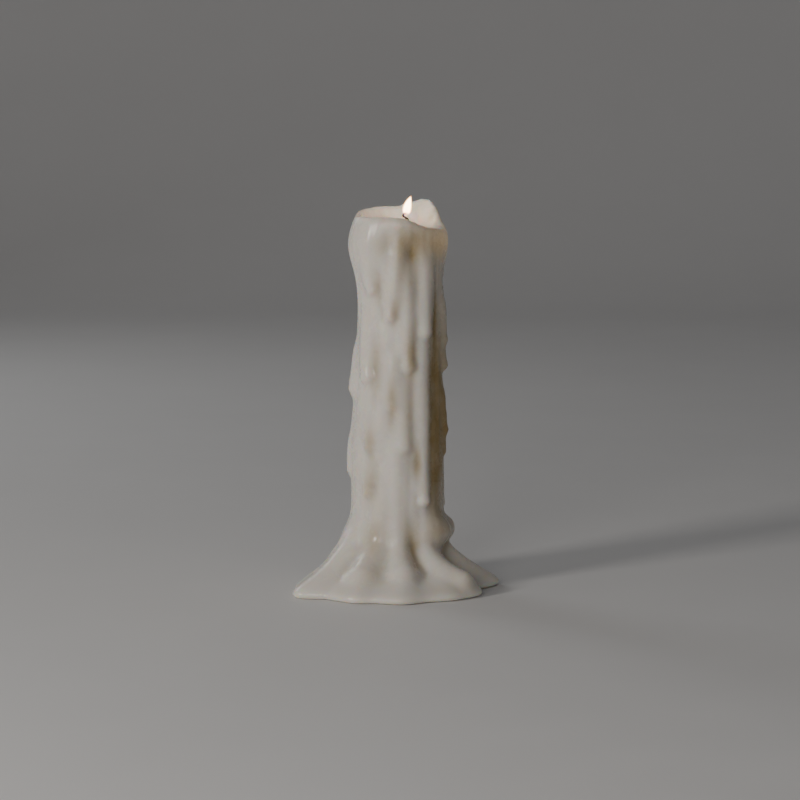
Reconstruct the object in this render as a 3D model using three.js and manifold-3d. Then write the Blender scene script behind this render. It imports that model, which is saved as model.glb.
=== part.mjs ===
// Melted candle: a burnt-down pillar candle. One mass of wax (column, crater, fused drips and
// spread foot) with a cotton wick down its middle.
// Millimetres, +Z up. The origin is on the floor under the middle of the column; -Y is the front.
// Angles are in degrees round the column: 0 is +X, 90 is +Y (the back), -90 is the front.
import * as THREE from 'three';
import { mergeVertices } from 'three/addons/utils/BufferGeometryUtils.js';
import Module from 'manifold-3d';

const wasm = await Module();
wasm.setup();

// ---- driving dimensions ----
const TOP_RADIUS = 25.3; // bare column near the rim
const COAT = 1.7; // extra radius lower down, where old runs have built up
const COAT_TOP = 150; // height where that coat starts
const COAT_FULL = 90; // height where it is at its thickest
const LEAN = 0.007; // the column leans towards +X by this much per millimetre of height
const POOL = 216; // floor of the crater
const POOL_RADIUS = 14.5; // flat part of the crater floor
const RIM_ROUND = 3.2; // blend between crater wall and rim crest
const MOUTH = 222; // height where the thickness of the rim is set
const CRATER_RISE = 8; // height over which the crater opens out from its floor to its mouth
const CRATER_FLARE = 0.35; // how much the crater widens per millimetre above that
const CRATER_SLANT = 0.85; // cosine of the usual lean of the crater wall
const POOL_ROUND = 3; // blend between crater floor and crater wall
const FLOOR_ROUND = 5; // blend where the wax meets the floor
const LIP = 4; // height of the rounded edge of the foot
const LIP_ROUND = 3; // how softly that edge turns into the slope
const FLARE_START = 0.8; // under 1 the foot leaves the column in a hollow curve
const RUN_BLEND = 5; // how softly the upper part of a run melts into the wall
const BURIED = 3.5; // depth inside the wall where a run begins
const EMERGE = 16; // length over which it comes out of the wall

const WICK_RADIUS = 1.0;
const BURNT_RADIUS = 0.6; // where it has burnt
const WICK_GAP = 0.3; // clearance between wick and wax
const WICK_BOTTOM = 5; // the wick stops short of the underside, sealed by wax
const STEPS_PER_POINT = 5; // rings along the wick between two of its control points
const BURIED_POINTS = 8; // control points of the wick that lie inside the wax, or just above it

// Rim: [angle, crest height, wall thickness, outer shoulder blend]
const RIM = [
  [-180, 229.3, 4.6, 9], [-150, 228.8, 4.6, 9], [-122, 228.4, 4.6, 8], [-100, 227.7, 4.6, 7],
  [-84, 226.2, 4.5, 6], [-72, 223.6, 4.5, 5], [-62, 220.8, 4.5, 4], [-46, 218.9, 4.5, 4],
  [-15, 217.6, 4.5, 4], [3, 218.0, 4.5, 4], [13, 222.4, 4.6, 5], [23, 228.2, 4.7, 5],
  [34, 233.6, 4.8, 5], [46, 239.4, 5.2, 6], [58, 241.8, 5.6, 7], [74, 236.8, 5.6, 7],
  [95, 232.2, 5.1, 7], [125, 234.1, 4.8, 8], [145, 235.6, 4.7, 8], [162, 233.8, 4.6, 9],
];

// Foot: [angle, edge radius, height where it leaves the column, hollowness of its slope]
const FOOT = [
  [-180, 59, 40, 1.0], [-164, 66, 40, 0.85], [-149, 74, 40, 0.8], [-134, 62.5, 39, 1.05],
  [-117, 63, 38, 1.05], [-104, 59, 37, 1.1], [-88, 61, 37, 1.1], [-70, 57, 32, 1.25],
  [-50, 59.5, 34, 1.05], [-33, 61, 31, 1.05], [-14, 54, 28, 1.3], [7, 64, 34, 0.85],
  [24, 54, 30, 1.4], [50, 58, 36, 1.1], [76, 52, 33, 1.3], [100, 59, 37, 1.1],
  [126, 53, 33, 1.3], [154, 58, 38, 1.1],
];

// Broad swellings (+) and hollows (-): [angle, height, half width in degrees, half height, amount]
const SWELLS = [
  [178, 209, 50, 11.5, 4.8], // overflow bulging out under the left of the rim
  [-150, 206, 30, 14, 2.0],
  [0, 209, 32, 8, 3.2],
  [180, 80, 40, 34, 1.8],
  [70, 36, 30, 9, 3.0],
  [-175, 33, 34, 6.5, 5.2], // rolled folds above the foot, left
  [-172, 23, 30, 3.5, 2.6],
  [-46, 208, 26, 7, -1.4], // recess under the thin front of the rim
  [-42, 220, 24, 2.6, 1.2], // lip of the rim that stands out over it
  [-76, 204, 6, 4.5, -1.4],
  [-111, 208, 9, 6, -0.8],
  [-68, 172, 5, 20, -0.3],
  [-88, 176, 4, 12, -0.6],
  [-30, 118, 12, 52, -0.9], // long valley right of the front runs
  [-66, 80, 4.5, 6.5, -1.5],
  [-36, 35, 26, 8, 3.6], // rolled fold above the foot, right
  [-144, 5, 7, 4, 1.2], // puffed edges of the front lobes of the foot
  [-120, 5, 7, 4, 1.2],
  [-88, 6, 7, 4, 1.4],
  [-73, 33, 7.5, 9, -1.5], // crease running into the foot
  [-70, 20, 6.5, 7, -0.9],
  [-14, 13, 8, 9, -3.2], // gap between two lobes of the foot
];

// Runs of wax: [path of [angle, height] from top to tip, half width, half width of the bead at the
// tip, how far it stands out, how softly the tip melts into the wall]
const RUNS = [
  [[[-93, 217], [-94, 200], [-98, 186], [-101, 175], [-102.5, 167]], 4.2, 4.4, 3.6, 1.0],
  [[[-142, 204], [-137, 190], [-131, 181.5]], 3.6, 4.0, 2.4, 1.0],
  [[[-83, 197], [-81, 177], [-80, 156], [-77, 137]], 4.2, 4.8, 3.0, 1.2],
  [[[-50, 210], [-51, 191], [-51.5, 176], [-53, 158]], 4.4, 5.6, 3.0, 1.4],
  [[[-56, 160], [-57, 128], [-57.5, 98]], 4.4, 4.4, 2.0, 2.4],
  [[[-57, 104], [-57.5, 84], [-57.5, 68], [-56.5, 57]], 3.4, 4.5, 3.6, 1.0],
  [[[-145, 172], [-144, 150], [-141, 138], [-138, 131]], 4.6, 6.8, 3.8, 1.2],
  [[[164, 158], [173, 143], [180, 123]], 3.8, 7.0, 3.9, 5.0],
  [[[-112, 168], [-114, 140], [-116, 112], [-118, 84]], 4.6, 5.0, 1.6, 2.4],
  [[[-101, 150], [-100, 130], [-99, 114]], 3.6, 4.2, 2.2, 1.2],
  [[[-88, 136], [-87, 116], [-85, 100], [-83, 90]], 4.2, 5.4, 2.8, 1.4],
  [[[-134, 112], [-131, 100], [-129, 89]], 4.2, 5.2, 3.0, 1.2],
  [[[170, 102], [176, 88], [180, 73]], 3.6, 5.4, 2.6, 3.2],
  [[[-134, 84], [-131, 72], [-130, 62]], 4.2, 5.2, 3.0, 1.2],
  [[[-8, 184], [-4, 166], [-2, 151]], 3.2, 4.4, 3.9, 2.2],
  [[[-10, 154], [-5, 145], [-3, 136]], 3.2, 4.6, 4.0, 2.0],
  [[[-12, 126], [-6, 116], [-3, 108]], 3.2, 4.2, 1.8, 2.0],
  [[[-12, 112], [-6, 105], [-3, 97]], 3.2, 4.6, 3.6, 2.0],
  [[[-10, 98], [-5, 91], [-3, 84]], 3.2, 4.0, 2.2, 2.0],
  // flows that run on into the foot
  [[[-95, 104], [-93, 76], [-93, 48], [-91, 30], [-86, 14]], 4.6, 9.0, 2.2, 6.0],
  [[[-116, 68], [-116, 48], [-117, 28], [-119, 12]], 6.0, 9.0, 0.9, 7.0],
  [[[-60, 43], [-42, 39.5], [-20, 36.5], [4, 36]], 7.5, 8.5, 5.8, 2.8],
  [[[-56, 26], [-46, 16], [-38, 7]], 8.0, 9.0, 3.0, 4.0],
];

// The back is out of sight: its runs are spread evenly by the golden ratio.
const BACK_RUNS = 16;
const GOLDEN = 0.618034;

// ---- small helpers ----
const fraction = (value) => value - Math.floor(value);
const clamp01 = (value) => Math.min(Math.max(value, 0), 1);
const ease = (value) => clamp01(value) ** 2 * (3 - 2 * clamp01(value));
const mix = (a, b, share) => a + (b - a) * share;
const turn = (angle, to) => THREE.MathUtils.euclideanModulo(angle - to + 180, 360) - 180;
const bump = (distance, size) => Math.exp(-0.5 * (distance / size) ** 2);

function softMin(a, b, blend) {
  const overlap = Math.max(blend - Math.abs(a - b), 0) / blend;
  return Math.min(a, b) - overlap * overlap * blend * 0.25;
}

const softMax = (a, b, blend) => -softMin(-a, -b, blend);

// Reads a table of [angle, ...values] at any angle, eased between its entries.
function readAround(table, angle) {
  const a = angle + (angle < table[0][0] ? 360 : 0);
  let i = table.length - 1;
  while (table[i][0] > a) i -= 1;
  const next = table[(i + 1) % table.length];
  const span = THREE.MathUtils.euclideanModulo(next[0] - table[i][0], 360);
  const share = ease((a - table[i][0]) / span);
  return table[i].slice(1).map((value, k) => mix(value, next[k + 1], share));
}

// ---- column and foot: radius of the wall at an angle and a height ----
function wallRadius(angle, z) {
  let radius = TOP_RADIUS + COAT * ease((COAT_TOP - z) / (COAT_TOP - COAT_FULL));
  for (const [at, height, halfWidth, halfHeight, amount] of SWELLS) {
    radius += amount * bump(turn(angle, at), halfWidth) * bump(z - height, halfHeight);
  }
  const radians = THREE.MathUtils.degToRad(angle);
  radius += 0.35 * Math.sin(5 * radians + z / 21) * Math.sin(z / 13 + 1);
  radius += 0.25 * Math.sin(9 * radians - z / 37 + 2);
  const [edge, height, hollow] = readAround(FOOT, angle);
  const aboveLip = (z - LIP + Math.hypot(z - LIP, LIP_ROUND)) / 2;
  const share = 1 - clamp01(aboveLip / (height - LIP));
  return radius + (edge - radius) * (share ** 2 / mix(FLARE_START, 1, share)) ** hollow;
}

// ---- runs: round-ended chains that follow the wall ----
function makeRun([path, width, bead, relief, tip]) {
  const unwrapped = path.map(([angle, z]) => new THREE.Vector2(path[0][0] + turn(angle, path[0][0]), z));
  const points = new THREE.SplineCurve(unwrapped).getPoints(14);
  const lengths = [0];
  for (let i = 1; i < points.length; i += 1) {
    const around = THREE.MathUtils.degToRad(points[i].x - points[i - 1].x) * TOP_RADIUS;
    lengths.push(lengths[i - 1] + Math.hypot(around, points[i].y - points[i - 1].y));
  }
  const emerge = Math.min(EMERGE, 0.6 * lengths.at(-1));
  const beads = points.map(({ x: angle, y: z }, i) => {
    const along = i / (points.length - 1);
    const growth = clamp01((along - 0.55) / 0.45) ** 2;
    const radius = width * mix(0.5, 1, ease(along / 0.3)) + (bead - width) * growth;
    const lift = mix(-BURIED, relief * mix(0.3, 1, along ** 2), ease(lengths[i] / emerge));
    const out = wallRadius(angle, z) + lift - radius;
    const radians = THREE.MathUtils.degToRad(angle);
    return {
      centre: new THREE.Vector3(out * Math.cos(radians), out * Math.sin(radians), z),
      radius,
      blend: mix(RUN_BLEND, tip, ease((along - 0.72) / 0.25)),
    };
  });
  const box = new THREE.Box3().setFromPoints(beads.map((b) => b.centre));
  return { beads, box: box.expandByScalar(Math.max(width, bead) + Math.max(RUN_BLEND, tip)) };
}

function backRuns() {
  const runs = [];
  for (let i = 0; i < BACK_RUNS; i += 1) {
    const angle = 18 + 146 * fraction(i * GOLDEN);
    const top = 218 - 150 * fraction(i * 0.37);
    const tip = Math.max(top - 28 - 42 * fraction(i * 0.417), 24);
    const size = 3 + 1.6 * fraction(i * 0.733);
    const middle = [angle + 3 * Math.sin(2.1 * i), (top + tip) / 2];
    const path = [[angle, top], middle, [angle + 4 * Math.sin(1.3 * i), tip]];
    runs.push([path, size, size * 1.25, 2.4, 1.2]);
  }
  return runs;
}

const runs = [...RUNS, ...backRuns()].map(makeRun);
const point = new THREE.Vector3();
const segment = new THREE.Line3();
const nearest = new THREE.Vector3();

function addRun(distance, run, at) {
  if (!run.box.containsPoint(at)) return distance;
  let best = Infinity;
  let blend = RUN_BLEND;
  for (let i = 1; i < run.beads.length; i += 1) {
    const [a, b] = [run.beads[i - 1], run.beads[i]];
    segment.set(a.centre, b.centre);
    const share = segment.closestPointToPointParameter(at, true);
    segment.at(share, nearest);
    const gap = nearest.distanceTo(at) - mix(a.radius, b.radius, share);
    if (gap < best) {
      best = gap;
      blend = mix(a.blend, b.blend, share);
    }
  }
  return softMin(distance, best, blend);
}

// ---- the whole wax as one signed distance, negative inside ----
function craterRadius(angle, z, wall) {
  const mouth = wallRadius(angle, MOUTH) - wall;
  const rise = clamp01((z - POOL) / CRATER_RISE);
  const bowl = mix(POOL_RADIUS, mouth, Math.sin(rise * Math.PI / 2) ** 0.8);
  return bowl + CRATER_FLARE * Math.max(z - POOL - CRATER_RISE, 0);
}

function waxDistance(out, angle, z) {
  const radians = THREE.MathUtils.degToRad(angle);
  point.set(out * Math.cos(radians), out * Math.sin(radians), z);
  const slope = wallRadius(angle, z - 0.5) - wallRadius(angle, z + 0.5);
  let distance = (out - wallRadius(angle, z)) / Math.hypot(1, slope);
  for (const run of runs) distance = addRun(distance, run, point);
  const [crest, wall, shoulder] = readAround(RIM, angle);
  distance = softMax(distance, z - crest, shoulder);
  const crater = softMax((out - craterRadius(angle, z, wall)) * CRATER_SLANT, POOL - z, POOL_ROUND);
  distance = softMax(distance, -crater, RIM_ROUND);
  return softMax(distance, -z, FLOOR_ROUND);
}

// ---- surface of the wax: a lathe whose points are moved out to where the distance is zero ----
const COLUMNS = 84;
const FOOT_ROWS = [0.7, 2, 3.6, 5.6, 8.2, 11.2, 14.6, 18.4];
const WALL_ROWS = 37;
const RIM_FAN = [18, 42, 64, 88, 116, 146]; // directions over the crest, 0 outwards and 90 up
const CRATER_ROWS = 4;
const POOL_RINGS = [9, 4.5];
const CREST_DEPTH = 6; // the fan's centre lies this far below the crest
const OUTREACH = 9; // no run stands out from the wall by more than this
const STRIDE = 0.6; // step of the walk to the surface
const CORE = 12; // below the crater, rows start at this radius, which is always inside the wax
const SOLID_TOP = POOL - 5; // under the crater, up to here, the wax is solid from side to side
const anchors = new Map();

// The centre of the fan over the crest: inside the rim, in the middle of its thickness.
function findAnchor(angle) {
  if (anchors.has(angle)) return anchors.get(angle);
  const [crest, wall] = readAround(RIM, angle);
  const face = wallRadius(angle, MOUTH);
  let top = crest;
  while (waxDistance(face - wall / 2, angle, top) > 0) top -= STRIDE / 2;
  const z = top - CREST_DEPTH;
  let [best, depth] = [face - wall / 2, 0];
  for (let inset = 1.5; inset <= wall + 1; inset += 0.3) {
    const distance = waxDistance(face - inset, angle, z);
    if (distance < depth && z > POOL) [best, depth] = [face - inset, distance];
  }
  anchors.set(angle, [best, z]);
  return anchors.get(angle);
}

// Each row gives, for an angle, a start inside the wax and a direction, in the (out, up) plane.
function makeRows() {
  const rows = FOOT_ROWS.map((z) => () => ({ start: [CORE, z], heading: 0 }));
  const first = FOOT_ROWS.at(-1);
  for (let i = 1; i <= WALL_ROWS; i += 1) {
    rows.push((angle) => {
      const [out, top] = findAnchor(angle);
      const z = mix(first, top, i / WALL_ROWS);
      return { start: [z < SOLID_TOP - 3 ? CORE : out, z], heading: 0 };
    });
  }
  for (const heading of RIM_FAN) rows.push((angle) => ({ start: findAnchor(angle), heading }));
  for (let i = 1; i <= CRATER_ROWS; i += 1) {
    const share = i / CRATER_ROWS;
    rows.push((angle) => {
      const [out, top] = findAnchor(angle);
      const start = [mix(out, POOL_RADIUS - 1, share), mix(top, SOLID_TOP, share)];
      return { start, heading: mix(RIM_FAN.at(-1), 90, share) };
    });
  }
  for (const ring of POOL_RINGS) rows.push(() => ({ start: [ring, SOLID_TOP], heading: 90 }));
  return rows;
}

// Halves a stretch of a line until its two ends, one inside the wax and one outside, meet.
function closeIn(angle, at, inside, outside) {
  let [near, far] = [inside, outside];
  for (let i = 0; i < 10; i += 1) {
    const middle = (near + far) / 2;
    if (waxDistance(at(middle)[0], angle, at(middle)[1]) < 0) near = middle;
    else far = middle;
  }
  return at(far);
}

// Walks to the surface: inwards on the wall, where runs stand out from it, and outwards elsewhere.
function findSurface(angle, { start, heading }) {
  const radians = THREE.MathUtils.degToRad(heading);
  const at = (reach) => [start[0] + reach * Math.cos(radians), start[1] + reach * Math.sin(radians)];
  const isInside = (reach) => waxDistance(at(reach)[0], angle, at(reach)[1]) < 0;
  let reach = heading === 0 ? wallRadius(angle, start[1]) + OUTREACH - start[0] : 0;
  if (heading === 0) {
    while (!isInside(reach)) reach -= STRIDE;
    return closeIn(angle, at, reach, reach + STRIDE);
  }
  while (isInside(reach)) reach += STRIDE;
  return closeIn(angle, at, reach - STRIDE, reach);
}

// Where the flat underside ends and the rounded edge of the foot begins.
function contactRadius(angle) {
  const step = 0.4;
  let out = TOP_RADIUS;
  while (waxDistance(out + step, angle, 0) < 0.001) out += step;
  return out;
}

function makeWaxSurface() {
  const rows = makeRows();
  const profile = [new THREE.Vector2(0, 0)];
  for (let i = 0; i <= rows.length; i += 1) profile.push(new THREE.Vector2(TOP_RADIUS, i));
  profile.push(new THREE.Vector2(0, POOL));
  const lathe = new THREE.LatheGeometry(profile, COLUMNS);
  lathe.deleteAttribute('normal');
  lathe.deleteAttribute('uv');
  const position = lathe.getAttribute('position');
  const last = profile.length - 1;
  for (let column = 0; column <= COLUMNS; column += 1) {
    const angle = turn((column % COLUMNS) * 360 / COLUMNS, 0);
    const radians = THREE.MathUtils.degToRad(angle);
    for (let row = 0; row <= last; row += 1) {
      let [out, z] = [0, row === 0 ? 0 : POOL];
      if (row === 1) [out, z] = [contactRadius(angle), 0];
      else if (row > 1 && row < last) [out, z] = findSurface(angle, rows[row - 2](angle));
      const x = out * Math.cos(radians) + LEAN * z;
      position.setXYZ(column * (last + 1) + row, x, out * Math.sin(radians), z);
    }
  }
  return lathe;
}

// ---- wick: a round cord that thins, bends over and curls where it has burnt ----
const wickPoints = [
  new THREE.Vector3(0, 0, WICK_BOTTOM),
  new THREE.Vector3(0.8, 0, 110),
  new THREE.Vector3(1.2, 0, 170),
  new THREE.Vector3(1.4, 0, 196),
  new THREE.Vector3(1.5, 0, 207),
  new THREE.Vector3(2.2, -0.2, 214),
  new THREE.Vector3(3.8, -0.6, 218.2),
  new THREE.Vector3(5.4, -1.0, 220.8),
  new THREE.Vector3(5.6, -1.2, 222.6),
  new THREE.Vector3(4.4, -1.3, 223.6),
  new THREE.Vector3(3.2, -1.4, 224.6),
  new THREE.Vector3(3.6, -1.5, 226.0),
  new THREE.Vector3(5.1, -1.6, 226.2),
];

// Burnt cotton is thinner: the radius shrinks between these two control points.
const BURN_FROM = 5.3;
const BURN_TO = 9.3;
function wickRadius(node) {
  return mix(WICK_RADIUS, BURNT_RADIUS, ease((node - BURN_FROM) / (BURN_TO - BURN_FROM)));
}

// A cord along a curve: swept thin, then thickened about its own centre line.
function cordAlong(points, radiusAt) {
  const path = new THREE.CatmullRomCurve3(points, false, 'catmullrom', 0.5);
  path.getUtoTmapping = (u) => u; // the same number of rings in each span, so short bends are round
  const thin = 0.1;
  const steps = STEPS_PER_POINT * (points.length - 1);
  const section = new THREE.Shape().absarc(0, 0, thin, 0, Math.PI * 2);
  const settings = { extrudePath: path, steps, curveSegments: 5, bevelEnabled: false };
  const cord = new THREE.ExtrudeGeometry(section, settings);
  const centres = path.getSpacedPoints(steps);
  const position = cord.getAttribute('position');
  const vertex = new THREE.Vector3();
  for (let i = 0; i < position.count; i += 1) {
    vertex.fromBufferAttribute(position, i);
    const gaps = centres.map((centre) => centre.distanceToSquared(vertex));
    const ring = gaps.indexOf(Math.min(...gaps));
    const offset = vertex.sub(centres[ring]).multiplyScalar(radiusAt(ring / STEPS_PER_POINT) / thin);
    position.setXYZ(i, ...centres[ring].clone().add(offset).toArray());
  }
  return cord;
}

// ---- joining and cutting ----
function toSolid(geometry) {
  const bare = geometry.clone();
  bare.deleteAttribute('normal');
  bare.deleteAttribute('uv');
  const merged = mergeVertices(bare, 1e-4);
  const triVerts = [];
  const index = merged.index.array;
  for (let i = 0; i < index.length; i += 3) {
    const [a, b, c] = [index[i], index[i + 1], index[i + 2]];
    if (a !== b && b !== c && c !== a) triVerts.push(a, b, c);
  }
  return new wasm.Manifold(new wasm.Mesh({
    numProp: 3,
    vertProperties: new Float32Array(merged.getAttribute('position').array),
    triVerts: new Uint32Array(triVerts),
  }));
}

function toMesh(solid, name, material) {
  const { vertProperties, triVerts } = solid.getMesh();
  const geometry = new THREE.BufferGeometry();
  geometry.setAttribute('position', new THREE.BufferAttribute(new Float32Array(vertProperties), 3));
  geometry.setIndex(new THREE.BufferAttribute(new Uint32Array(triVerts), 1));
  geometry.computeVertexNormals();
  const mesh = new THREE.Mesh(geometry, material);
  mesh.name = name;
  return mesh;
}

// The channel is the wick's own path with the gap added, from just under its end to above the pool.
function wickChannel() {
  const points = [new THREE.Vector3(0, 0, WICK_BOTTOM - WICK_GAP), ...wickPoints.slice(1, BURIED_POINTS)];
  return toSolid(cordAlong(points, () => WICK_RADIUS + WICK_GAP));
}

const waxSolid = toSolid(makeWaxSurface());
const waxWithChannel = waxSolid.subtract(wickChannel());
const wickSolid = toSolid(cordAlong(wickPoints, wickRadius));

const waxMaterial = new THREE.MeshStandardMaterial({ color: 0xefe6d3, roughness: 0.42, metalness: 0 });
const wickMaterial = new THREE.MeshStandardMaterial({ color: 0x3b3129, roughness: 0.95, metalness: 0 });

const candle = new THREE.Group();
candle.name = 'melted_candle';
candle.add(toMesh(waxWithChannel, 'wax_body', waxMaterial));
candle.add(toMesh(wickSolid, 'wick', wickMaterial));

export default candle;
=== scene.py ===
"""Melted candle: the looks of a burnt-down pillar candle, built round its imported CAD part.

Metres, +Z up, the row's frame. The form of the wax is worked out in millimetres, as in the part.
Angles are in degrees round the column: 0 is +X, 90 the back, -90 the front.
"""

import math

import bpy
import numpy as np
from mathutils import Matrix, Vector


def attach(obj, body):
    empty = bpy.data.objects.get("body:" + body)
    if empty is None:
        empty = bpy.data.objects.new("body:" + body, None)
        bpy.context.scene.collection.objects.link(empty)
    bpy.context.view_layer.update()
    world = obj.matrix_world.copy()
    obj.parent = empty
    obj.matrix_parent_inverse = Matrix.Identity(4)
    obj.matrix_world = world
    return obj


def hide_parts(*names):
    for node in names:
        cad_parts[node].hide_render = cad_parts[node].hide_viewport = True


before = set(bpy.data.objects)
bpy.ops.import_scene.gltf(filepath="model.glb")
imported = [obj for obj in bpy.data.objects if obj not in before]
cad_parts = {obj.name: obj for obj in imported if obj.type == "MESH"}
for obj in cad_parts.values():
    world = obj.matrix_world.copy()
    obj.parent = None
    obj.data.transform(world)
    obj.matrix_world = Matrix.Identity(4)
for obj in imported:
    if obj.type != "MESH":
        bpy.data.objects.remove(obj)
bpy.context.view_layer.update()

MM = 0.001

# ---- driving dimensions of the wax, in millimetres, the same as the part's ----
TOP_RADIUS = 25.3  # bare column near the rim
COAT = 1.7  # extra radius lower down, where old runs have built up
COAT_TOP = 150  # height where that coat starts
COAT_FULL = 90  # height where it is at its thickest
LEAN = 0.007  # the column leans towards +X by this much per millimetre of height
POOL = 216  # floor of the crater
POOL_RADIUS = 14.5  # flat part of the crater floor
MOUTH = 222  # height where the thickness of the rim is set
CRATER_RISE = 8  # height over which the crater opens out from its floor to its mouth
CRATER_FLARE = 0.35  # how much the crater widens per millimetre above that
CRATER_SLANT = 0.85  # cosine of the usual lean of the crater wall
POOL_ROUND = 3  # blend between crater floor and crater wall
RIM_ROUND = 3.2  # blend between crater wall and rim crest
FLOOR_ROUND = 5  # blend where the wax meets the floor
LIP = 4  # height of the rounded edge of the foot
LIP_ROUND = 3  # how softly that edge turns into the slope
FLARE_START = 0.8  # under 1 the foot leaves the column in a hollow curve
RUN_BLEND = 5  # how softly the upper part of a run melts into the wall
BURIED = 3.5  # depth inside the wall where a run begins
EMERGE = 16  # length over which it comes out of the wall

# Rim: angle, crest height, wall thickness, outer shoulder blend
RIM = [
    (-180, 229.3, 4.6, 9),
    (-150, 228.8, 4.6, 9),
    (-122, 228.4, 4.6, 8),
    (-100, 227.7, 4.6, 7),
    (-84, 226.2, 4.5, 6),
    (-72, 223.6, 4.5, 5),
    (-62, 220.8, 4.5, 4),
    (-46, 218.9, 4.5, 4),
    (-15, 217.6, 4.5, 4),
    (3, 218.0, 4.5, 4),
    (13, 222.4, 4.6, 5),
    (23, 228.2, 4.7, 5),
    (34, 233.6, 4.8, 5),
    (46, 239.4, 5.2, 6),
    (58, 241.8, 5.6, 7),
    (74, 236.8, 5.6, 7),
    (95, 232.2, 5.1, 7),
    (125, 234.1, 4.8, 8),
    (145, 235.6, 4.7, 8),
    (162, 233.8, 4.6, 9),
]

# Foot: angle, edge radius, height where it leaves the column, hollowness of its slope
FOOT = [
    (-180, 59, 40, 1.0),
    (-164, 66, 40, 0.85),
    (-149, 74, 40, 0.8),
    (-134, 62.5, 39, 1.05),
    (-117, 63, 38, 1.05),
    (-104, 59, 37, 1.1),
    (-88, 61, 37, 1.1),
    (-70, 57, 32, 1.25),
    (-50, 59.5, 34, 1.05),
    (-33, 61, 31, 1.05),
    (-14, 54, 28, 1.3),
    (7, 64, 34, 0.85),
    (24, 54, 30, 1.4),
    (50, 58, 36, 1.1),
    (76, 52, 33, 1.3),
    (100, 59, 37, 1.1),
    (126, 53, 33, 1.3),
    (154, 58, 38, 1.1),
]

# Broad swellings (+) and hollows (-): angle, height, half width in degrees, half height, amount
SWELLS = [
    (178, 209, 50, 11.5, 4.8),
    (-150, 206, 30, 14, 2.0),
    (0, 209, 32, 8, 3.2),
    (180, 80, 40, 34, 1.8),
    (70, 36, 30, 9, 3.0),
    (-175, 33, 34, 6.5, 5.2),
    (-172, 23, 30, 3.5, 2.6),
    (-46, 208, 26, 7, -1.4),
    (-42, 220, 24, 2.6, 1.2),
    (-76, 204, 6, 4.5, -1.4),
    (-111, 208, 9, 6, -0.8),
    (-68, 172, 5, 20, -0.3),
    (-88, 176, 4, 12, -0.6),
    (-30, 118, 12, 52, -0.9),
    (-66, 80, 4.5, 6.5, -1.5),
    (-36, 35, 26, 8, 3.6),
    (-144, 5, 7, 4, 1.2),
    (-120, 5, 7, 4, 1.2),
    (-88, 6, 7, 4, 1.4),
    (-73, 33, 7.5, 9, -1.5),
    (-70, 20, 6.5, 7, -0.9),
    (-14, 13, 8, 9, -3.2),
]

# Runs of wax: path of (angle, height) from top to tip, half width, half width of the bead at the
# tip, how far it stands out, how softly the tip melts into the wall
RUNS = [
    ([(-93, 217), (-94, 200), (-98, 186), (-101, 175), (-102.5, 167)], 4.2, 4.4, 3.6, 1.0),
    ([(-142, 204), (-137, 190), (-131, 181.5)], 3.6, 4.0, 2.4, 1.0),
    ([(-83, 197), (-81, 177), (-80, 156), (-77, 137)], 4.2, 4.8, 3.0, 1.2),
    ([(-50, 210), (-51, 191), (-51.5, 176), (-53, 158)], 4.4, 5.6, 3.0, 1.4),
    ([(-56, 160), (-57, 128), (-57.5, 98)], 4.4, 4.4, 2.0, 2.4),
    ([(-57, 104), (-57.5, 84), (-57.5, 68), (-56.5, 57)], 3.4, 4.5, 3.6, 1.0),
    ([(-145, 172), (-144, 150), (-141, 138), (-138, 131)], 4.6, 6.8, 3.8, 1.2),
    ([(164, 158), (173, 143), (180, 123)], 3.8, 7.0, 3.9, 5.0),
    ([(-112, 168), (-114, 140), (-116, 112), (-118, 84)], 4.6, 5.0, 1.6, 2.4),
    ([(-101, 150), (-100, 130), (-99, 114)], 3.6, 4.2, 2.2, 1.2),
    ([(-88, 136), (-87, 116), (-85, 100), (-83, 90)], 4.2, 5.4, 2.8, 1.4),
    ([(-134, 112), (-131, 100), (-129, 89)], 4.2, 5.2, 3.0, 1.2),
    ([(170, 102), (176, 88), (180, 73)], 3.6, 5.4, 2.6, 3.2),
    ([(-134, 84), (-131, 72), (-130, 62)], 4.2, 5.2, 3.0, 1.2),
    ([(-8, 184), (-4, 166), (-2, 151)], 3.2, 4.4, 3.9, 2.2),
    ([(-10, 154), (-5, 145), (-3, 136)], 3.2, 4.6, 4.0, 2.0),
    ([(-12, 126), (-6, 116), (-3, 108)], 3.2, 4.2, 1.8, 2.0),
    ([(-12, 112), (-6, 105), (-3, 97)], 3.2, 4.6, 3.6, 2.0),
    ([(-10, 98), (-5, 91), (-3, 84)], 3.2, 4.0, 2.2, 2.0),
    ([(-95, 104), (-93, 76), (-93, 48), (-91, 30), (-86, 14)], 4.6, 9.0, 2.2, 6.0),
    ([(-116, 68), (-116, 48), (-117, 28), (-119, 12)], 6.0, 9.0, 0.9, 7.0),
    ([(-60, 43), (-42, 39.5), (-20, 36.5), (4, 36)], 7.5, 8.5, 5.8, 2.8),
    ([(-56, 26), (-46, 16), (-38, 7)], 8.0, 9.0, 3.0, 4.0),
]

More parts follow.
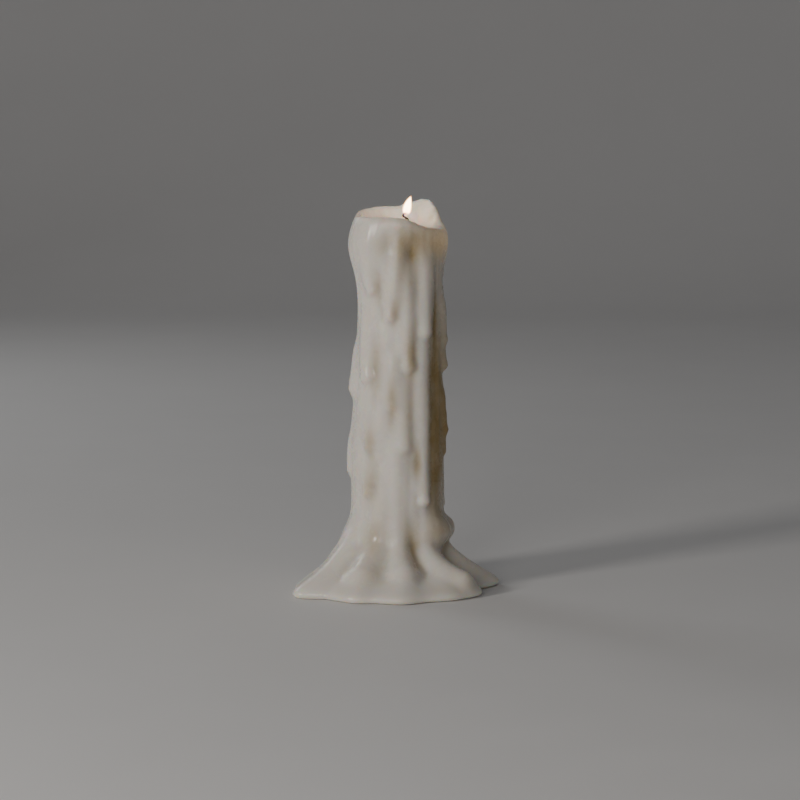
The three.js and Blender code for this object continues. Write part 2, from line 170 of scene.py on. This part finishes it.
# Where the wax is thin or stained and shows amber, and where shade is painted on as amber on faces
# turned from the light, beside and under the beads and down the shaded right side (+), and where less
# of both is painted (-):
# angle, height, half width in degrees, half height, amount
STAINS_AND_SHADE = [
    (-73, 210, 17, 8, 0.72),
    (-28, 210, 19, 8, 0.7),
    (-76, 204, 8, 6, 0.1),
    (-90, 198, 4, 20, 0.3),
    (-73, 190, 8, 9, 0.3),
    (-111, 209, 9, 5, 0.25),
    (-97, 170, 4.5, 6, 0.4),
    (-120, 184, 5, 7, 0.4),
    (-75, 143, 5.5, 10, 0.7),
    (-122, 136, 6, 11, 0.5),
    (-99, 115, 4, 10, 0.6),
    (-126, 91, 6, 7, 0.5),
    (-77, 108, 5, 14, 0.3),
    (-66, 80, 4.5, 6.5, 0.75),
    (-125, 66, 6, 8, 0.5),
    (-118, 34, 9, 8, 0.5),
    (-110, 14, 7, 5, 0.2),
    # painted shade: these three rows darken the crease right of the front flow and the lobe beside it
    (-74, 33, 7, 9, 0.5),
    (-70, 19, 6, 7, 0.12),
    (-54, 38, 10, 6, 0.2),
    # painted shade: these four rows darken and brown the right side, which is turned away from the
    # key light
    (-33, 167, 4, 12, 0.5),
    (-43, 102, 8, 40, 0.8),
    (-30, 104, 9, 44, 0.6),
    (-8, 100, 20, 46, 1.0),
    (-52, 3, 14, 3.5, 0.4),
    (-58, 110, 4, 48, -0.45),
]

# The back is out of sight: its runs are spread evenly by the golden ratio.
BACK_RUNS = 16
GOLDEN = 0.618034

CELL = 0.95  # size of the grid the wax is meshed on
GRID_LOW = (-72, -68, -3)
GRID_HIGH = (72, 68, 240)


# ---- small helpers ----
def ease(value):
    value = np.clip(value, 0, 1)
    return value * value * (3 - 2 * value)


def mix(a, b, share):
    return a + (b - a) * share


def turn(angle, to):
    return (angle - to + 180) % 360 - 180


def bump(distance, size):
    return np.exp(-0.5 * (distance / size) ** 2)


def soft_min(a, b, blend):
    overlap = np.maximum(blend - np.abs(a - b), 0) / blend
    return np.minimum(a, b) - overlap * overlap * blend * 0.25


def soft_max(a, b, blend):
    return -soft_min(-a, -b, blend)


def read_around(table, angle):
    """Reads a table of (angle, values...) at any angle, eased between its entries."""
    rows = np.array(table, float)
    again = rows[0].copy()
    again[0] += 360
    rows = np.vstack([rows, again])
    at = rows[0, 0] + (np.asarray(angle) - rows[0, 0]) % 360
    i = np.clip(np.searchsorted(rows[:, 0], at, side="right") - 1, 0, len(rows) - 2)
    share = ease((at - rows[i, 0]) / (rows[i + 1, 0] - rows[i, 0]))
    return [mix(rows[i, k], rows[i + 1, k], share) for k in range(1, rows.shape[1])]


def wall_radius(angle, z):
    """Radius of the column and foot at an angle and a height, before the runs.

    The last two ripples are too fine for the part and are only here.
    """
    radius = TOP_RADIUS + COAT * ease((COAT_TOP - z) / (COAT_TOP - COAT_FULL)) + 0 * angle
    for at, height, half_width, half_height, amount in SWELLS:
        radius = radius + amount * bump(turn(angle, at), half_width) * bump(z - height, half_height)
    radians = np.radians(angle)
    radius = radius + 0.35 * np.sin(5 * radians + z / 21) * np.sin(z / 13 + 1)
    radius = radius + 0.25 * np.sin(9 * radians - z / 37 + 2)
    radius = radius + 0.16 * np.sin(23 * radians + 2 * np.sin(z / 31)) * np.sin(z / 47 + 3 * radians)
    radius = radius + 0.10 * np.sin(38 * radians - z / 29 + 1) * np.sin(z / 35 - 4 * radians)
    edge, height, hollow = read_around(FOOT, angle)
    above_lip = (z - LIP + np.hypot(z - LIP, LIP_ROUND)) / 2
    share = 1 - np.clip(above_lip / (height - LIP), 0, 1)
    return radius + (edge - radius) * (share * share / mix(FLARE_START, 1, share)) ** hollow


def spline(nodes, steps):
    """Points on a uniform Catmull-Rom curve through the nodes."""
    nodes = np.asarray(nodes, float)
    ends = np.vstack([nodes[0], nodes, nodes[-1]])
    points = []
    for u in np.linspace(0, len(nodes) - 1, steps + 1):
        i = min(int(u), len(nodes) - 2)
        w = u - i
        p0, p1, p2, p3 = ends[i : i + 4]
        v0 = (p2 - p0) / 2
        v1 = (p3 - p1) / 2
        cubic = (2 * p1 - 2 * p2 + v0 + v1) * w**3 + (3 * p2 - 3 * p1 - 2 * v0 - v1) * w**2
        points.append(cubic + v0 * w + p1)
    return np.array(points)


# ---- runs: round-ended chains that follow the wall ----
def make_run(path, width, bead, relief, tip):
    first = path[0][0]
    points = spline([(first + turn(angle, first), z) for angle, z in path], 14)
    along = np.linspace(0, 1, len(points))
    growth = np.clip((along - 0.55) / 0.45, 0, 1) ** 2
    radius = width * mix(0.5, 1, ease(along / 0.3)) + (bead - width) * growth
    strides = np.hypot(np.radians(np.diff(points[:, 0])) * TOP_RADIUS, np.diff(points[:, 1]))
    lengths = np.concatenate([[0], np.cumsum(strides)])
    emerged = ease(lengths / min(EMERGE, 0.6 * lengths[-1]))
    lift = mix(-BURIED, relief * mix(0.3, 1, along**2), emerged)
    out = wall_radius(points[:, 0], points[:, 1]) + lift - radius
    radians = np.radians(points[:, 0])
    centre = np.stack([out * np.cos(radians), out * np.sin(radians), points[:, 1]], 1)
    blend = mix(RUN_BLEND, tip, ease((along - 0.72) / 0.25))
    return centre, radius, blend


def back_runs():
    """The runs on the back of the column."""
    runs = []
    for i in range(BACK_RUNS):
        angle = 18 + 146 * (i * GOLDEN % 1)
        top = 218 - 150 * (i * 0.37 % 1)
        tip = max(top - 28 - 42 * (i * 0.417 % 1), 24)
        size = 3 + 1.6 * (i * 0.733 % 1)
        middle = (angle + 3 * math.sin(2.1 * i), (top + tip) / 2)
        path = [(angle, top), middle, (angle + 4 * math.sin(1.3 * i), tip)]
        runs.append((path, size, size * 1.25, 2.4, 1.2))
    return runs


class Grid:
    """A regular grid of points, in millimetres."""

    def __init__(self, low, high, step):
        self.low = np.array(low, float)
        self.step = step
        self.axes = [np.arange(a, b + step, step) for a, b in zip(low, high)]

    def window(self, low, high):
        """The slices of the grid that hold a box."""
        cut = []
        for axis, a, b, start in zip(self.axes, low, high, self.low):
            first = int(np.clip((a - start) // self.step, 0, len(axis) - 1))
            last = int(np.clip((b - start) // self.step + 2, 1, len(axis)))
            cut.append(slice(first, last))
        return tuple(cut)


def add_run(grid, distance, run):
    centre, radius, blend = run
    reach = radius.max() + max(RUN_BLEND, blend.max()) + 2
    cut = grid.window(centre.min(0) - reach, centre.max(0) + reach)
    x, y, z = np.meshgrid(*[grid.axes[i][cut[i]] for i in range(3)], indexing="ij")
    best = np.full(x.shape, 1e3)
    soft = np.full(x.shape, float(RUN_BLEND))
    for i in range(1, len(centre)):
        a = centre[i - 1]
        d = centre[i] - a
        share = np.clip(((x - a[0]) * d[0] + (y - a[1]) * d[1] + (z - a[2]) * d[2]) / (d @ d), 0, 1)
        off = [x - a[0] - d[0] * share, y - a[1] - d[1] * share, z - a[2] - d[2] * share]
        gap = np.sqrt(off[0] ** 2 + off[1] ** 2 + off[2] ** 2) - mix(radius[i - 1], radius[i], share)
        nearer = gap < best
        best = np.where(nearer, gap, best)
        soft = np.where(nearer, mix(blend[i - 1], blend[i], share), soft)
    distance[cut] = soft_min(distance[cut], best, soft)


def wax_field(step):
    """The signed distance to the wax on a grid, negative inside, without the column's lean."""
    grid = Grid(GRID_LOW, GRID_HIGH, step)
    x, y = np.meshgrid(grid.axes[0], grid.axes[1], indexing="ij")
    z = grid.axes[2]
    angle = np.degrees(np.arctan2(y, x))
    out = np.hypot(x, y)
    turns = np.arange(-180, 181, 0.5)
    radii = wall_radius(turns[:, None], z[None, :])
    slopes = wall_radius(turns[:, None], z - 0.5) - wall_radius(turns[:, None], z + 0.5)
    distance = np.empty(out.shape + z.shape)
    for k in range(len(z)):
        radius = np.interp(angle, turns, radii[:, k])
        slope = np.interp(angle, turns, slopes[:, k])
        distance[:, :, k] = (out - radius) / np.hypot(1, slope)
    for run in RUNS + back_runs():
        add_run(grid, distance, make_run(*run))
    crest, wall, shoulder = [value[:, :, None] for value in read_around(RIM, angle)]
    distance = soft_max(distance, z - crest, shoulder)
    mouth = np.interp(angle, turns, wall_radius(turns, MOUTH))[:, :, None] - wall
    rise = np.clip((z - POOL) / CRATER_RISE, 0, 1)
    inner = mix(POOL_RADIUS, mouth, np.sin(rise * np.pi / 2) ** 0.8)
    inner = inner + CRATER_FLARE * np.maximum(z - POOL - CRATER_RISE, 0)
    crater = soft_max((out[:, :, None] - inner) * CRATER_SLANT, POOL - z, POOL_ROUND)
    distance = soft_max(distance, -crater, RIM_ROUND)
    return grid, soft_max(distance, -z, FLOOR_ROUND)


# ---- meshing ----
def surface_net(distance):
    """One vertex in each grid cell that the surface crosses, and one quad over each crossed edge."""
    inside = distance < 0
    shape = np.array(distance.shape)
    corners = np.zeros(shape - 1, np.int8)
    for i in (0, 1):
        for j in (0, 1):
            for k in (0, 1):
                corners += inside[i : shape[0] - 1 + i, j : shape[1] - 1 + j, k : shape[2] - 1 + k]
    crossed = (corners > 0) & (corners < 8)
    cells = np.argwhere(crossed)
    index = np.full(crossed.shape, -1, np.int64)
    index[crossed] = np.arange(len(cells))
    total = np.zeros((len(cells), 3))
    count = np.zeros(len(cells))
    quads = []
    for axis in range(3):
        across = [a for a in range(3) if a != axis]
        step = np.zeros(3, int)
        step[axis] = 1
        for u, v in ((0, 0), (1, 0), (0, 1), (1, 1)):
            start = cells.copy()
            start[:, across[0]] += u
            start[:, across[1]] += v
            a = distance[tuple(start.T)]
            b = distance[tuple((start + step).T)]
            cuts = (a < 0) != (b < 0)
            point = start.astype(float)
            point[:, axis] += np.where(cuts, a / np.where(cuts, a - b, 1), 0)
            total += point * cuts[:, None]
            count += cuts
        lower = [slice(1, n - 1) for n in shape]
        upper = list(lower)
        lower[axis] = slice(0, shape[axis] - 1)
        upper[axis] = slice(1, shape[axis])
        edges = np.argwhere(inside[tuple(lower)] != inside[tuple(upper)])
        edges[:, across] += 1
        leaving = inside[tuple(edges.T)]
        ring = []
        for u, v in ((1, 1), (0, 1), (0, 0), (1, 0)):
            cell = edges.copy()
            cell[:, across[0]] -= u
            cell[:, across[1]] -= v
            ring.append(index[tuple(cell.T)])
        quad = np.stack(ring, 1)
        backwards = leaving if axis == 1 else ~leaving
        quad[backwards] = quad[backwards][:, ::-1]
        quads.append(quad)
    return total / count[:, None], np.vstack(quads)


def relax(points, quads, rounds):
    """Moves each point halfway to the mean of its neighbours, which hides the grid."""
    edges = np.vstack([quads[:, [i, (i + 1) % 4]] for i in range(4)])
    degree = np.bincount(edges.ravel(), minlength=len(points))
    for _ in range(rounds):
        mean = np.empty_like(points)
        for axis in range(3):
            coordinate = points[:, axis]
            sums = np.bincount(edges[:, 0], coordinate[edges[:, 1]], len(points))
            sums += np.bincount(edges[:, 1], coordinate[edges[:, 0]], len(points))
            mean[:, axis] = sums / degree
        points = mix(points, mean, 0.5)
    return points


def box_blur(values, cells):
    """Mean over a cube reaching that many cells each way."""
    width = 2 * cells + 1
    for axis in range(3):
        size = values.shape[axis]
        before = np.repeat(values.take([0], axis), cells + 1, axis)
        after = np.repeat(values.take([-1], axis), cells, axis)
        sums = np.cumsum(np.concatenate([before, values, after], axis), axis)
        ahead = sums.take(range(width, width + size), axis)
        behind = sums.take(range(size), axis)
        values = (ahead - behind) / width
    return values


def read_grid(values, points):
    """Values at points given in grid cells, blended between the eight nearest."""
    base = np.floor(points).astype(int)
    part = points - base
    result = np.zeros(len(points))
    for i in (0, 1):
        for j in (0, 1):
            for k in (0, 1):
                weight = np.prod(np.where([i, j, k], part, 1 - part), axis=1)
                result += weight * values[base[:, 0] + i, base[:, 1] + j, base[:, 2] + k]
    return result


def settle(distance, points):
    """Moves points, in grid cells, onto the surface along the slope of the distance."""
    values = read_grid(distance, points)
    slope = np.empty_like(points)
    for axis in range(3):
        ahead = points.copy()
        behind = points.copy()
        ahead[:, axis] += 0.5
        behind[:, axis] -= 0.5
        slope[:, axis] = read_grid(distance, ahead) - read_grid(distance, behind)
    length = np.maximum((slope * slope).sum(1), 0.1)
    step = np.clip(values / length, -1, 1)
    return points - slope * step[:, None]


def mesh_object(name, points, faces, material):
    """A smooth-shaded mesh from points in millimetres."""
    mesh = bpy.data.meshes.new(name)
    mesh.from_pydata((np.asarray(points) * MM).tolist(), [], [list(map(int, face)) for face in faces])
    mesh.polygons.foreach_set("use_smooth", [True] * len(mesh.polygons))
    mesh.materials.append(material)
    mesh.update()
    result = bpy.data.objects.new(name, mesh)
    bpy.context.scene.collection.objects.link(result)
    return result


def add_attribute(target, name, values):
    layer = target.data.attributes.new(name, "FLOAT", "POINT")
    layer.data.foreach_set("value", np.asarray(values, np.float32))


# ---- materials ----
class Nodes:
    """Short calls for building one material's node tree."""

    def __init__(self, name):
        self.material = bpy.data.materials.new(name)
        self.material.use_nodes = True
        self.tree = self.material.node_tree
        self.shader = self.tree.nodes["Principled BSDF"]
        self.output = self.tree.nodes["Material Output"]

    def add(self, kind, **values):
        node = self.tree.nodes.new(kind)
        for key, value in values.items():
            setattr(node, key, value)
        return node

    def link(self, source, target):
        self.tree.links.new(source, target)

    def noise(self, scale, detail=4.0, stretch=(1, 1, 1)):
        place = self.add("ShaderNodeTexCoord")
        mapping = self.add("ShaderNodeMapping")
        mapping.inputs["Scale"].default_value = stretch
        texture = self.add("ShaderNodeTexNoise")
        texture.inputs["Scale"].default_value = scale
        texture.inputs["Detail"].default_value = detail
        self.link(place.outputs["Object"], mapping.inputs["Vector"])
        self.link(mapping.outputs["Vector"], texture.inputs["Vector"])
        return texture.outputs["Fac"]

    def attribute(self, name):
        return self.add("ShaderNodeAttribute", attribute_name=name).outputs["Fac"]

    def spread(self, value, low, high, to_low=0.0, to_high=1.0):
        node = self.add("ShaderNodeMapRange")
        self.link(value, node.inputs["Value"])
        node.inputs["From Min"].default_value = low
        node.inputs["From Max"].default_value = high
        node.inputs["To Min"].default_value = to_low
        node.inputs["To Max"].default_value = to_high
        return node.outputs["Result"]

    def colour_mix(self, share, first, second):
        """Blends two colours, each a tuple or an output of a node. The sockets go by number
        because the node has several of the same name, one for each kind of value."""
        node = self.add("ShaderNodeMix", data_type="RGBA")
        self.link(share, node.inputs[0])
        for socket, colour in ((node.inputs[6], first), (node.inputs[7], second)):
            if isinstance(colour, tuple):
                socket.default_value = (*colour, 1)
            else:
                self.link(colour, socket)
        return node.outputs[2]

    def maths(self, operation, first, second):
        node = self.add("ShaderNodeMath", operation=operation)
        for socket, value in zip(node.inputs, (first, second)):
            if isinstance(value, (int, float)):
                socket.default_value = value
            else:
                self.link(value, socket)
        return node.outputs[0]

    def bump(self, height, distance, strength=1.0, below=None):
        node = self.add("ShaderNodeBump")
        node.inputs["Distance"].default_value = distance
        node.inputs["Strength"].default_value = strength
        self.link(height, node.inputs["Height"])
        if below is not None:
            self.link(below, node.inputs["Normal"])
        return node.outputs["Normal"]

    def set(self, **values):
        for name, value in values.items():
            socket = self.shader.inputs[name.replace("_", " ")]
            if isinstance(value, (int, float, tuple)):
                socket.default_value = value
            else:
                self.link(value, socket)


IVORY = (0.80, 0.755, 0.68)
CREAM = (0.86, 0.82, 0.75)
# dark amber: the colour of amber wax and also of the painted shade in hollows and on faces turned
# from the light
AMBER_AND_SHADE = (0.36, 0.245, 0.075)
WARM_GLOW = (1.0, 0.72, 0.42, 1.0)
RIM_GLOW = 0.14  # strength of the flame's light that comes out through the thin rim


def wax_material():
    """Ivory wax that lets light in, amber with painted shade in places, glossier where the wet
    attribute is high.
    """
    nodes = Nodes("wax")
    mottle = nodes.spread(nodes.noise(45, 3, (1, 1, 0.5)), 0.3, 0.7)
    base = nodes.colour_mix(mottle, IVORY, CREAM)
    # the base is mixed towards dark amber where the attribute paints amber and shade
    amber_and_shade = nodes.attribute("amber_and_shade")
    patchy = nodes.maths("MULTIPLY", amber_and_shade, nodes.spread(nodes.noise(90, 4), 0.25, 0.75, 0.75, 1.0))
    colour = nodes.colour_mix(patchy, base, AMBER_AND_SHADE)
    wet = nodes.attribute("wet")
    dry_roughness = nodes.spread(nodes.noise(160, 4), 0.3, 0.7, 0.20, 0.34)
    roughness = nodes.maths("MULTIPLY", dry_roughness, nodes.spread(wet, 0, 1, 1.0, 0.35))
    waves = nodes.bump(nodes.noise(110, 2, (1, 1, 0.6)), 0.0007, 0.25)
    grain = nodes.bump(nodes.noise(1500, 3), 0.0001, 0.35, waves)
    nodes.set(Base_Color=colour, Roughness=roughness, Normal=grain, IOR=1.44)
    nodes.set(Subsurface_Weight=1.0, Subsurface_Scale=0.0045, Subsurface_Radius=(1.0, 0.62, 0.36))
    rim_glow = nodes.maths("MULTIPLY", nodes.attribute("glow"), RIM_GLOW)
    nodes.set(Emission_Color=WARM_GLOW, Emission_Strength=rim_glow)
    return nodes.material


def pool_material():
    """Molten wax: the same colour, clear at its surface and almost smooth."""
    nodes = Nodes("molten_wax")
    swirl = nodes.spread(nodes.noise(120, 2), 0.3, 0.7)
    nodes.set(Base_Color=nodes.colour_mix(swirl, (0.80, 0.72, 0.58), (0.88, 0.83, 0.72)))
    nodes.set(Roughness=nodes.spread(nodes.noise(60, 2), 0.3, 0.7, 0.03, 0.07), IOR=1.43)
    nodes.set(Normal=nodes.bump(nodes.noise(40, 2), 0.0004, 0.3))
    nodes.set(Subsurface_Weight=0.8, Subsurface_Scale=0.006, Subsurface_Radius=(1.0, 0.7, 0.45))
    return nodes.material


def wick_material():
    """Waxed cotton that turns to char, with an ember at its tip."""
    nodes = Nodes("wick")
    threads = nodes.spread(nodes.noise(900, 4), 0.3, 0.7)
    cotton = nodes.colour_mix(threads, (0.62, 0.55, 0.44), (0.74, 0.68, 0.56))
    ash = nodes.spread(nodes.noise(1800, 5), 0.35, 0.65)
    char = nodes.colour_mix(ash, (0.008, 0.007, 0.006), (0.045, 0.036, 0.03))
    nodes.set(Base_Color=nodes.colour_mix(nodes.attribute("burnt"), cotton, char))
    nodes.set(Roughness=nodes.spread(nodes.noise(1200, 3), 0.3, 0.7, 0.75, 0.95))
    nodes.set(Normal=nodes.bump(nodes.noise(3500, 4), 0.0002, 0.8))
    ember = nodes.maths("MULTIPLY", nodes.attribute("ember"), 2.5)
    nodes.set(Emission_Color=(1.0, 0.16, 0.02, 1.0), Emission_Strength=ember)
    return nodes.material


def flame_material(name, low_colour, high_colour, strength, opacity):
    """A shell of the flame: glows, and is clearer at its foot."""
    nodes = Nodes(name)
    height = nodes.attribute("height")
    flicker = nodes.spread(nodes.noise(300, 2), 0.3, 0.7, 0.92, 1.0)
    colour = nodes.colour_mix(nodes.spread(height, 0.1, 0.45), low_colour, high_colour)
    alpha = nodes.maths("MULTIPLY", nodes.spread(height, 0.14, 0.36, 0.03, opacity), flicker)
    nodes.set(Base_Color=(0.0, 0.0, 0.0, 1.0), Roughness=1.0, Alpha=alpha)
    nodes.set(Emission_Color=colour, Emission_Strength=strength)
    return nodes.material


def floor_material():
    nodes = Nodes("floor")
    tone = nodes.colour_mix(nodes.noise(6, 3), (0.79, 0.78, 0.765), (0.83, 0.82, 0.805))
    nodes.set(Base_Color=tone, Roughness=nodes.spread(nodes.noise(20, 3), 0.3, 0.7, 0.6, 0.75))
    nodes.set(Normal=nodes.bump(nodes.noise(400, 3), 0.0002, 0.3))
    return nodes.material


# ---- the wax ----
NARROW = 3.2  # reach, in millimetres, over which a crease counts as a hollow
WIDE = 5.4  # and a valley between two runs
NEAR_SURFACE = 6  # the distance is read no further than this from the surface


def crater_share(angle, out, z):
    """1 in the crater, 0 on the rest of the wax."""
    return ease((wall_radius(angle, MOUTH) - 1.0 - out) / 1.6) * ease((z - POOL + 3) / 2)


def amber_and_shade_share(distance, cells, angle, z):
    """How amber the wax is painted: a little painted shade in every hollow, and more amber and
    painted shade where the table of stains puts it.
    """
    near = np.clip(distance, -NEAR_SURFACE, NEAR_SURFACE)
    hollow = -read_grid(box_blur(near, round(NARROW / CELL)), cells)
    wide_hollow = -read_grid(box_blur(near, round(WIDE / CELL)), cells)
    # painted shade: creases and the valleys between runs are painted darker amber
    amber_and_shade = 0.18 * ease(hollow / 0.8) + 0.2 * ease(wide_hollow / 1.3)
    for at, height, half_width, half_height, amount in STAINS_AND_SHADE:
        amber_and_shade = amber_and_shade + amount * bump(turn(angle, at), half_width) * bump(z - height, half_height)
    return np.clip(amber_and_shade, 0, 1) * ease((z - 2) / 8)


def build_wax():
    grid, distance = wax_field(CELL)
    cells, quads = surface_net(distance)
    for _ in range(3):
        cells = settle(distance, relax(cells, quads, 2))
    cells = relax(cells, quads, 4)
    points = grid.low + cells * grid.step
    x, y, z = points.T.copy()
    angle = np.degrees(np.arctan2(y, x))
    in_crater = crater_share(angle, np.hypot(x, y), z)
    # amber and painted shade, kept out of the crater
    amber_and_shade = amber_and_shade_share(distance, cells, angle, z) * (1 - in_crater)
    molten = in_crater * ease((POOL + 6 - z) / 5)
    glossy_foot = 0.6 * ease((14 - z) / 8)
    lit_through = bump(turn(angle, -18), 34) * bump(z - 212, 7.5) * (1 - in_crater)
    upright = np.stack([x + LEAN * z, y, np.maximum(z, 0)], 1)
    wax = mesh_object("wax", upright, quads, wax_material())
    add_attribute(wax, "amber_and_shade", amber_and_shade)
    add_attribute(wax, "wet", molten + glossy_foot)
    add_attribute(wax, "glow", lit_through)
    return wax


# ---- the wick ----
def sweep(centres, radii, sides, lobes=0, twist=0.0, depth=0.0):
    """A closed tube round a path, with an optional lobed and twisted section."""
    centres = np.asarray(centres, float)
    tangents = np.gradient(centres, axis=0)
    tangents /= np.linalg.norm(tangents, axis=1)[:, None]
    side = np.array([0.0, 1.0, 0.0])
    points = []
    for i, (centre, tangent, radius) in enumerate(zip(centres, tangents, radii)):
        side = side - tangent * (side @ tangent)
        side /= np.linalg.norm(side)
        other = np.cross(tangent, side)
        for k in range(sides):
            a = 2 * math.pi * k / sides
            r = radius * (1 + depth * math.cos(lobes * a + twist * i))
            points.append(centre + r * (math.cos(a) * side + math.sin(a) * other))
    faces = []
    rings = len(centres)
    for i in range(rings - 1):
        for k in range(sides):
            n = (k + 1) % sides
            faces.append((i * sides + k, i * sides + n, (i + 1) * sides + n, (i + 1) * sides + k))
    faces.append(tuple(reversed(range(sides))))
    faces.append(tuple((rings - 1) * sides + k for k in range(sides)))
    return np.array(points), faces


WICK_PATH = [
    (0, 0, 5),
    (0.8, 0, 110),
    (1.2, 0, 170),
    (1.4, 0, 196),
    (1.5, 0, 207),
    (2.2, -0.2, 214),
    (3.8, -0.6, 218.2),
    (5.4, -1.0, 220.8),
    (5.6, -1.2, 222.6),
    (4.4, -1.3, 223.6),
    (3.2, -1.4, 224.6),
    (3.6, -1.5, 226.0),
    (5.1, -1.6, 226.2),
]


WICK_RADIUS = 1.0
BURNT_RADIUS = 0.6
BURN_FROM = 5.3  # burnt cotton is thinner: the radius shrinks between these two path points
BURN_TO = 9.3
CHAR_START = 217.5  # height where the cotton begins to be charred
EMBER_HEIGHT = 225.3  # the tip, above this height, is an ember


def build_wick():
    spans = len(WICK_PATH) - 1
    centres = spline(WICK_PATH, 24 * spans)
    node = np.linspace(0, spans, len(centres))
    radii = mix(WICK_RADIUS, BURNT_RADIUS, ease((node - BURN_FROM) / (BURN_TO - BURN_FROM)))
    points, faces = sweep(centres, radii, 24, lobes=3, twist=0.16, depth=0.14)
    wick = mesh_object("braided_wick", points, faces, wick_material())
    height = points[:, 2]
    add_attribute(wick, "burnt", ease((height - CHAR_START) / 3))
    add_attribute(wick, "ember", ease((points[:, 0] - 4.2) / 1.0) * (height > EMBER_HEIGHT))
    return wick


# ---- molten wax and flame ----
FILM_RADIUS = 17.4  # the film's edge is buried in the crater wall
FILM_DEPTH = 0.55
WALL_CONTACT = 15.4  # radius where the film meets the wall and climbs it a little
WICK_OFFSET = 0.6  # the wick comes out of the film this far from the crater's centre


def build_pool():
    """The film of molten wax on the crater's floor, raised a little where it wets the wick."""
    rings = np.linspace(0.2, FILM_RADIUS, 28)
    sides = 72
    points = []
    for radius in rings:
        climb = 0.9 * math.exp(-max(radius - WICK_RADIUS, 0) / 0.9)
        climb += 0.3 * math.exp(min(radius - WALL_CONTACT, 0) / 0.5)
        centre = LEAN * POOL + WICK_OFFSET * (1 - radius / FILM_RADIUS)
        height = POOL + FILM_DEPTH + min(climb, 1.1)
        for k in range(sides):
            a = 2 * math.pi * k / sides
            points.append((centre + radius * math.cos(a), radius * math.sin(a), height))
    faces = [tuple(range(sides))]
    for i in range(len(rings) - 1):
        for k in range(sides):
            n = (k + 1) % sides
            faces.append((i * sides + k, (i + 1) * sides + k, (i + 1) * sides + n, i * sides + n))
    return mesh_object("molten_wax", points, faces, pool_material())


FLAME_FOOT = np.array([4.7, -1.3, 223.8])
FLAME_HEIGHT = 12.9
FLAME_RADIUS = 2.9


def build_flame_shell(name, scale, material):
    """A teardrop that leans over towards its tip. A smaller scale makes an inner shell."""
    steps = 36
    sides = 28
    t = np.linspace(0.0, 1.0, steps)
    shape = t**0.5 * (1 - t) ** 0.85
    radii = np.maximum(FLAME_RADIUS * scale * shape / shape.max(), 0.02)
    rise = FLAME_HEIGHT * (0.5 + (t - 0.5) * (0.55 + 0.45 * scale)) - 0.7 * (1 - scale)
    lean = 0.9 * rise / FLAME_HEIGHT + 2.3 * (rise / FLAME_HEIGHT) ** 2.2
    centres = FLAME_FOOT + np.stack([lean, np.zeros(steps), rise], 1)
    points, faces = sweep(centres, radii, sides)
    shell = mesh_object(name, points, faces, material)
    add_attribute(shell, "height", np.repeat(t, sides))
    return shell


def build_flame():
    outer = flame_material("flame_outer", (0.25, 0.3, 0.9), (1.0, 0.42, 0.12), 3.0, 0.22)
    middle = flame_material("flame_middle", (1.0, 0.42, 0.16), (1.0, 0.66, 0.30), 9.0, 0.55)
    core = flame_material("flame_core", (1.0, 0.55, 0.28), (1.0, 0.86, 0.62), 22.0, 0.95)
    return [
        build_flame_shell("flame_outer", 1.0, outer),
        build_flame_shell("flame_middle", 0.86, middle),
        build_flame_shell("flame_core", 0.68, core),
    ]


# ---- stage: floor, light and camera ----
def add_floor():
    """A floor that curves up behind the candle into a backdrop, in millimetres."""
    half = 3000
    back = 1600
    bend = 900
    top = 3000
    turns = np.linspace(0, math.pi / 2, 24)
    profile = [(-half, 0.0)]
    profile += [(back + bend * math.sin(a), bend * (1 - math.cos(a))) for a in turns]
    profile.append((back + bend, top))
    points = [(x, y, z) for y, z in profile for x in (-half, half)]
    faces = [(2 * i, 2 * i + 1, 2 * i + 3, 2 * i + 2) for i in range(len(profile) - 1)]
    return mesh_object("floor", points, faces, floor_material())


MIDDLE = Vector((0.0, 0.0, 0.12))  # the lights point here


def add_area_light(name, place, size, power, colour):
    data = bpy.data.lights.new(name, "AREA")
    data.size = size
    data.energy = power
    data.color = colour
    light = bpy.data.objects.new(name, data)
    light.location = place
    light.rotation_euler = (MIDDLE - Vector(place)).to_track_quat("-Z", "Y").to_euler()
    bpy.context.scene.collection.objects.link(light)


def add_point_light(name, place, radius, power, colour):
    data = bpy.data.lights.new(name, "POINT")
    data.shadow_soft_size = radius
    data.energy = power
    data.color = colour
    light = bpy.data.objects.new(name, data)
    light.location = place
    bpy.context.scene.collection.objects.link(light)


def add_world(colour, strength):
    world = bpy.data.worlds.new("studio")
    world.use_nodes = True
    background = world.node_tree.nodes["Background"]
    background.inputs["Color"].default_value = (*colour, 1)
    background.inputs["Strength"].default_value = strength
    bpy.context.scene.world = world


def add_camera(target, distance, elevation, lens):
    data = bpy.data.cameras.new("camera")
    data.lens = lens
    data.sensor_width = 36
    data.clip_start = 0.05
    camera = bpy.data.objects.new("camera", data)
    up = math.radians(elevation)
    back = Vector((0, -math.cos(up), math.sin(up)))
    camera.location = Vector(target) + back * distance
    camera.rotation_euler = (-back).to_track_quat("-Z", "Y").to_euler()
    bpy.context.scene.collection.objects.link(camera)
    bpy.context.scene.camera = camera


# ---- put together ----
wax = build_wax()
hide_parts("wax_body")
wick = build_wick()
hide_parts("wick")
pool = build_pool()
for piece in [wax, wick, pool, *build_flame()]:
    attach(piece, "root")

WARM_WHITE = (1.0, 0.96, 0.92)
COOL_WHITE = (0.96, 0.98, 1.0)
CANDLELIGHT = (1.0, 0.82, 0.74)
add_floor()
add_world((0.95, 0.96, 1.0), 0.11)
add_area_light("key", (-1.2, -1.0, 0.62), 0.28, 8.1, WARM_WHITE)
add_area_light("front_fill", (-0.5, -1.6, 0.55), 0.6, 5.4, WARM_WHITE)
add_area_light("rim_light", (-0.9, 1.0, 0.8), 0.5, 2.2, COOL_WHITE)
add_point_light("flame_light", (-0.001, -0.0014, 0.2395), 0.002, 0.0076, CANDLELIGHT)
add_camera(target=(0.0012, 0.0, 0.114), distance=1.8, elevation=7.5, lens=135)
